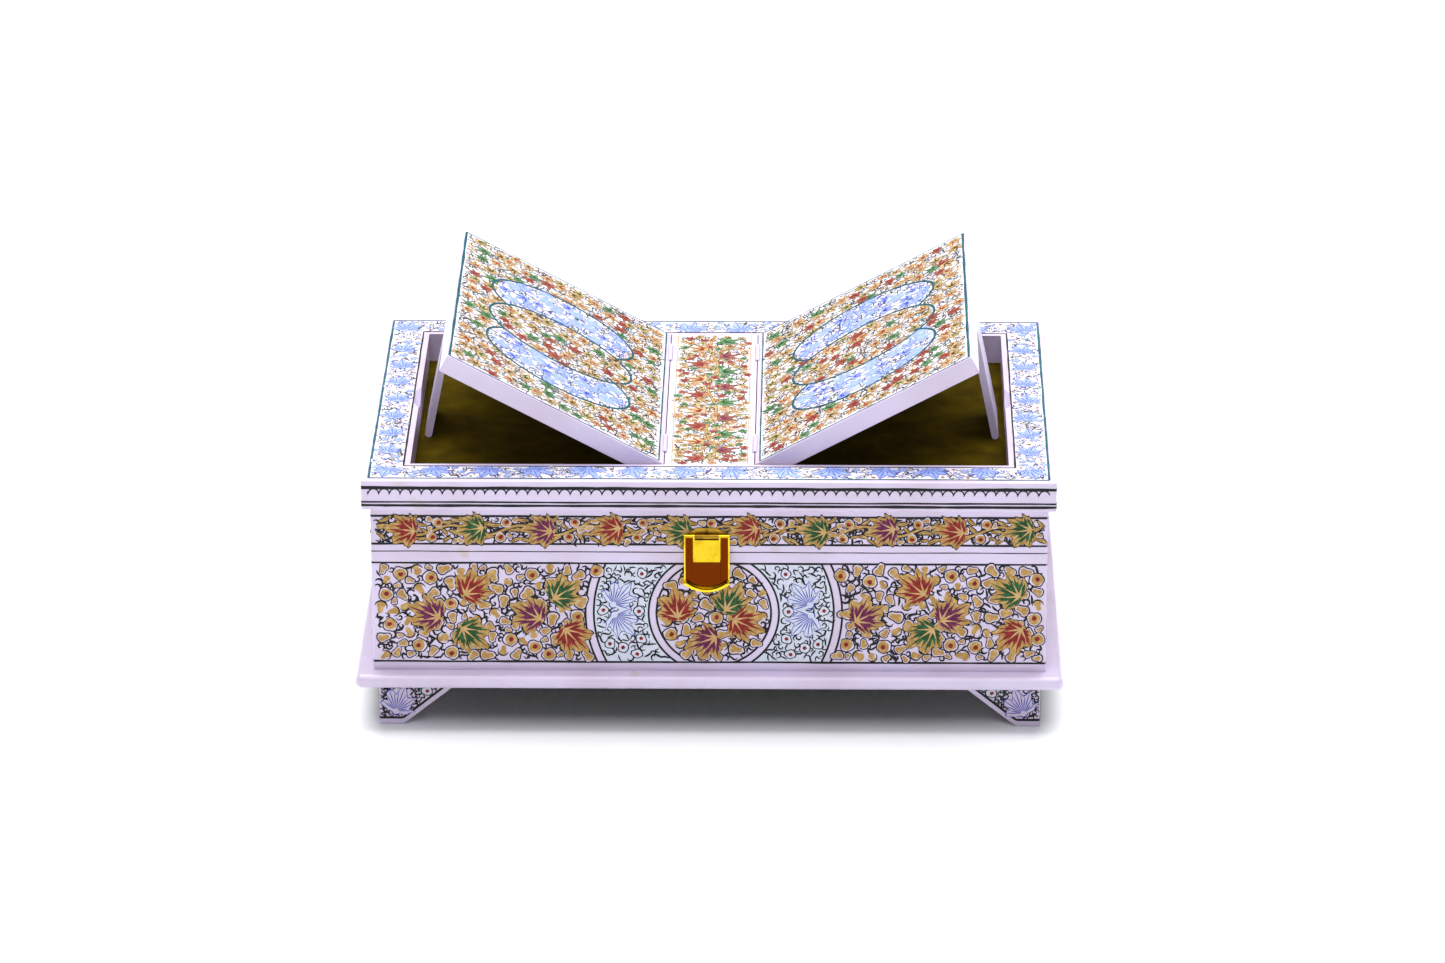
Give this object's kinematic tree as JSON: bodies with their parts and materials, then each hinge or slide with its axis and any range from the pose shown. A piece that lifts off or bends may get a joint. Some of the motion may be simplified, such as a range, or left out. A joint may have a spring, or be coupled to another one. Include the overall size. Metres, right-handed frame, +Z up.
{
  "type": "quran stand",
  "caption": "Lacquered book box on bracket feet; a hinged lid holds a folding book rest on propped leaves, with a velvet tray and a front latch.",
  "frame": {"origin": "on the floor, under the middle of the base plate", "axes": "+X to the reader's right, +Y to the back, +Z up"},
  "size_m": [0.349, 0.231, 0.1897],
  "materials": {
    "painted_top": "hand-painted and varnished white lacquer with fine leaf work",
    "painted_walls": "hand-painted and varnished pale lilac lacquer with leaf and flower work",
    "plain_lacquer": "varnished pale lilac-white lacquer over wood",
    "velvet": "short-pile olive velvet",
    "latch_brass": "polished stamped brass",
    "hinge_brass": "dull stamped brass",
    "brass_fasteners": "dull brass nails and screws",
    "steel_pins": "bright drawn steel wire"
  },
  "bodies": {
    "box": {"back_left_foot_face": "plain_lacquer", "back_left_foot_side": "plain_lacquer", "back_right_foot_face": "plain_lacquer", "back_right_foot_side": "plain_lacquer", "base_plate": "plain_lacquer", "box_back_wall": "painted_walls", "box_front_wall": "painted_walls", "box_left_wall": "painted_walls", "box_right_wall": "painted_walls", "compartment_velvet_back": "velvet", "compartment_velvet_floor": "velvet", "compartment_velvet_front": "velvet", "compartment_velvet_left": "velvet", "compartment_velvet_right": "velvet", "front_left_foot_face": "plain_lacquer", "front_left_foot_side": "plain_lacquer", "front_right_foot_face": "plain_lacquer", "front_right_foot_side": "plain_lacquer", "latch_catch": "latch_brass", "latch_catch_nails": "brass_fasteners", "lid_hinge_lower_plates": "hinge_brass", "lid_hinge_lower_screws": "brass_fasteners", "lid_hinge_pins": "steel_pins"},
    "lid": {"centre_spine": "painted_top", "latch_pin": "steel_pins", "latch_plate": "latch_brass", "latch_plate_nails": "brass_fasteners", "lid_back_band": "painted_walls", "lid_front_band": "painted_walls", "lid_hinge_upper_plates": "hinge_brass", "lid_hinge_upper_screws": "brass_fasteners", "lid_left_band": "painted_walls", "lid_right_band": "painted_walls", "spine_hinge_nails": "brass_fasteners", "spine_hinge_pins": "steel_pins", "spine_hinge_plates": "steel_pins", "top_back_rail": "painted_top", "top_front_rail": "painted_top", "top_left_stile": "painted_top", "top_right_stile": "painted_top", "tray_floor": "plain_lacquer", "tray_velvet_left": "velvet", "tray_velvet_right": "velvet"},
    "latch_flap": {"latch_flap": "latch_brass"},
    "left_leaf": {"left_leaf_board": "painted_top", "left_leaf_hinge_plates": "hinge_brass", "left_leaf_nails": "brass_fasteners", "left_prop_hinge_leaf_plate": "hinge_brass", "left_prop_hinge_pin": "steel_pins"},
    "left_prop": {"left_prop_board": "plain_lacquer", "left_prop_hinge_plate": "hinge_brass", "left_prop_nails": "brass_fasteners"},
    "right_leaf": {"right_leaf_board": "painted_top", "right_leaf_hinge_plates": "hinge_brass", "right_leaf_nails": "brass_fasteners", "right_prop_hinge_leaf_plate": "hinge_brass", "right_prop_hinge_pin": "steel_pins"},
    "right_prop": {"right_prop_board": "plain_lacquer", "right_prop_hinge_plate": "hinge_brass", "right_prop_nails": "brass_fasteners"}
  },
  "joints": [
    {"name": "lid_hinge", "type": "hinge", "parent": "box", "child": "lid", "pos_m": [0, 0.1089, 0.0935], "axis": [-1, 0, 0], "range_deg": [0, 100]},
    {"name": "left_leaf_hinge", "type": "hinge", "parent": "lid", "child": "left_leaf", "pos_m": [-0.02225, 0, 0.133], "axis": [0, 1, 0], "range_deg": [0, 61.6]},
    {"name": "right_leaf_hinge", "type": "hinge", "parent": "lid", "child": "right_leaf", "pos_m": [0.02225, 0, 0.133], "axis": [0, -1, 0], "range_deg": [0, 61.6]},
    {"name": "left_prop_hinge", "type": "hinge", "parent": "left_leaf", "child": "left_prop", "pos_m": [-0.12806, 0, 0.17941], "axis": [0, -1, 0], "range_deg": [0, 72.51]},
    {"name": "right_prop_hinge", "type": "hinge", "parent": "right_leaf", "child": "right_prop", "pos_m": [0.12806, 0, 0.17941], "axis": [0, 1, 0], "range_deg": [0, 72.51]},
    {"name": "latch_hinge", "type": "hinge", "parent": "lid", "child": "latch_flap", "pos_m": [-0.001, -0.1092, 0.1033], "axis": [-1, 0, 0], "range_deg": [0, 110]}
  ],
  "couplings": [
    {"joint": "left_prop_hinge", "follows": "left_leaf_hinge", "ratio": 1.1769},
    {"joint": "right_prop_hinge", "follows": "right_leaf_hinge", "ratio": 1.1769}
  ]
}
